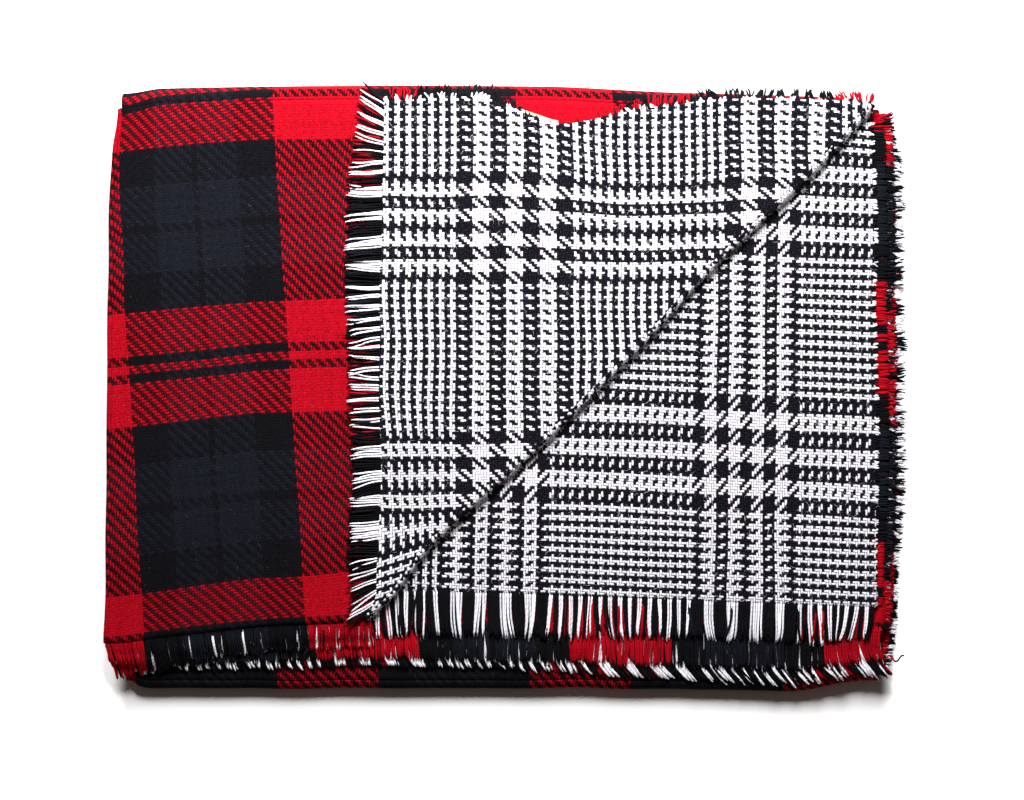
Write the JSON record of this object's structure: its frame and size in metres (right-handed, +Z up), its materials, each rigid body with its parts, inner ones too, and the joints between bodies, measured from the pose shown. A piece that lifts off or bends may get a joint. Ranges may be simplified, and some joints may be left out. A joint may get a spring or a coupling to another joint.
{
  "type": "folded throw blanket",
  "caption": "Reversible double-woven throw, plaid on one face and checked on the other, folded in eight with fringed ends and one corner turned back.",
  "frame": {"origin": "middle of the folded blanket's footprint, on the surface it lies on", "axes": "+X along the long side, towards the raw selvedges; +Y towards the top bends, away from the fringed ends; +Z up"},
  "size_m": [0.65, 0.497, 0.0314],
  "materials": {
    "tartan_face": "red, black and navy tartan in 2/2 twill, brushed wool-like yarn",
    "check_face": "black and white glen check in 2/2 twill, brushed wool-like yarn",
    "fringe_yarn": "loose yarn ends of both faces, soft and matt",
    "care_label": "plain cream woven tape, blank",
    "label_thread": "fine sewing thread"
  },
  "bodies": {
    "lower_half": {"layer_5": "tartan_face", "layer_6": "check_face", "layer_7": "tartan_face", "layer_8": "check_face", "left_fold_5_6": "tartan_face", "left_fold_7_8": "tartan_face", "bottom_fold_5_8": "tartan_face", "bottom_fold_6_7": "tartan_face", "top_fold_1_8": "tartan_face", "top_fold_2_7": "tartan_face", "top_fold_3_6": "tartan_face", "top_fold_4_5": "tartan_face", "side_fringe_5": "fringe_yarn", "side_fringe_6": "fringe_yarn", "side_fringe_7": "fringe_yarn", "side_fringe_8": "fringe_yarn"},
    "upper_half": {"layer_1": "tartan_face", "layer_2": "check_face", "layer_3": "tartan_face", "layer_4": "check_face", "left_fold_1_2": "tartan_face", "left_fold_3_4": "tartan_face", "end_fringe_1": "fringe_yarn", "end_fringe_2": "fringe_yarn", "end_fringe_3": "fringe_yarn", "end_fringe_4": "fringe_yarn", "side_fringe_2": "fringe_yarn", "side_fringe_3": "fringe_yarn", "side_fringe_4": "fringe_yarn", "crease_roll": "check_face"},
    "corner": {"corner_flap": "check_face", "flap_end_fringe": "fringe_yarn", "flap_side_fringe": "fringe_yarn", "care_label": "care_label", "label_stitching": "label_thread"}
  },
  "joints": [
    {"name": "upper_half_unfold", "type": "hinge", "parent": "lower_half", "child": "upper_half", "pos_m": [0, 0.23775, 0.01375], "axis": [-1, 0, 0], "range_deg": [0, 180], "deforming": ["top_fold_1_8", "top_fold_2_7", "top_fold_3_6", "top_fold_4_5"]},
    {"name": "corner_unfold", "type": "hinge", "parent": "upper_half", "child": "corner", "pos_m": [-0.10533, -0.18769, 0.02795], "axis": [0.6918, 0.7221, 0], "range_deg": [0, 180], "deforming": ["crease_roll"]}
  ]
}
